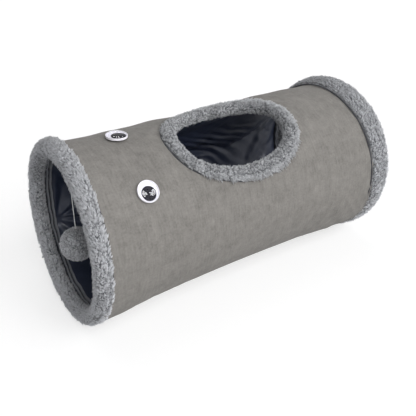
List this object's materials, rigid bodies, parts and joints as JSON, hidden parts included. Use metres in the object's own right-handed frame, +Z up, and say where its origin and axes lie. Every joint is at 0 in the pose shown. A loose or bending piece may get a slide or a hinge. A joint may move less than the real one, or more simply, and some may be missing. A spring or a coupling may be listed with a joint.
{
  "type": "collapsible cat tunnel",
  "caption": "Round fabric play tunnel on a spring wire, with plush round both mouths and an oval peek hole, googly eyes and a hanging plush ball.",
  "frame": {"origin": "on the floor, below the middle of the tunnel", "axes": "+X along the tunnel from the near mouth (with the eyes and the ball) to the far mouth, +Z up, -Y towards the side that the peek hole is rolled to"},
  "size_m": [0.6, 0.2994, 0.2977],
  "materials": {
    "suede": "matt suede-like nap",
    "crinkle_lining": "crinkled woven nylon, slight sheen",
    "plush": "short curly pile",
    "tape": "woven tape",
    "spring_steel": "drawn wire",
    "ferrule": "crimped tube",
    "eye_white": "gloss white",
    "eye_clear": "clear dome",
    "eye_black": "gloss black",
    "string": "thin white cord",
    "stuffing": "fibre filling"
  },
  "bodies": {
    "near_end": {"near_rim_plush": "plush", "near_hoop": "spring_steel", "near_hoop_ferrule": "ferrule", "outer_sleeve": "suede", "inner_lining": "crinkle_lining", "spring_coil": "spring_steel", "spring_casing": "tape", "peek_hole_trim": "plush", "string_tab": "tape"},
    "far_end": {"far_rim_plush": "plush", "far_hoop": "spring_steel", "far_hoop_ferrule": "ferrule"},
    "lower_eye": {"lower_eye_back": "eye_white", "lower_eye_dome": "eye_clear", "lower_eye_washer": "eye_white"},
    "upper_eye": {"upper_eye_back": "eye_white", "upper_eye_dome": "eye_clear", "upper_eye_washer": "eye_white"},
    "lower_pupil": {"lower_eye_pupil": "eye_black"},
    "upper_pupil": {"upper_eye_pupil": "eye_black"},
    "string_top": {"string_knot": "string"},
    "ball": {"ball_string": "string", "ball_knot": "string", "ball_cover": "plush", "ball_core": "stuffing"}
  },
  "joints": [
    {"name": "collapse", "type": "slide", "parent": "near_end", "child": "far_end", "axis": [-1, 0, 0], "range_m": [0, 0.48], "stiffness_N_per_m": 12, "springref_m": -0.05, "deforming": ["outer_sleeve", "inner_lining", "spring_coil", "spring_casing", "peek_hole_trim"]},
    {"name": "lower_eye_follow", "type": "slide", "parent": "near_end", "child": "lower_eye", "axis": [-1, 0, 0], "range_m": [0, 0.0467]},
    {"name": "upper_eye_follow", "type": "slide", "parent": "near_end", "child": "upper_eye", "axis": [-1, 0, 0], "range_m": [0, 0.0556]},
    {"name": "lower_pupil_roll", "type": "hinge", "parent": "lower_eye", "child": "lower_pupil", "pos_m": [-0.2034, -0.1076, 0.23829], "axis": [0.036, -0.7656, 0.6424], "continuous": true},
    {"name": "upper_pupil_roll", "type": "hinge", "parent": "upper_eye", "child": "upper_pupil", "pos_m": [-0.1945, -0.00489, 0.28805], "axis": [0.036, -0.0349, 0.9987], "continuous": true},
    {"name": "ball_swing_along", "type": "hinge", "parent": "near_end", "child": "string_top", "pos_m": [-0.2683, 0.0185, 0.2691], "axis": [0, 1, 0], "range_deg": [-62, 50]},
    {"name": "ball_swing_across", "type": "hinge", "parent": "string_top", "child": "ball", "pos_m": [-0.2683, 0.0185, 0.2691], "axis": [1, 0, 0], "range_deg": [-36, 22]}
  ],
  "couplings": [
    {"joint": "lower_eye_follow", "follows": "collapse", "ratio": 0.0971},
    {"joint": "upper_eye_follow", "follows": "collapse", "ratio": 0.1156}
  ]
}
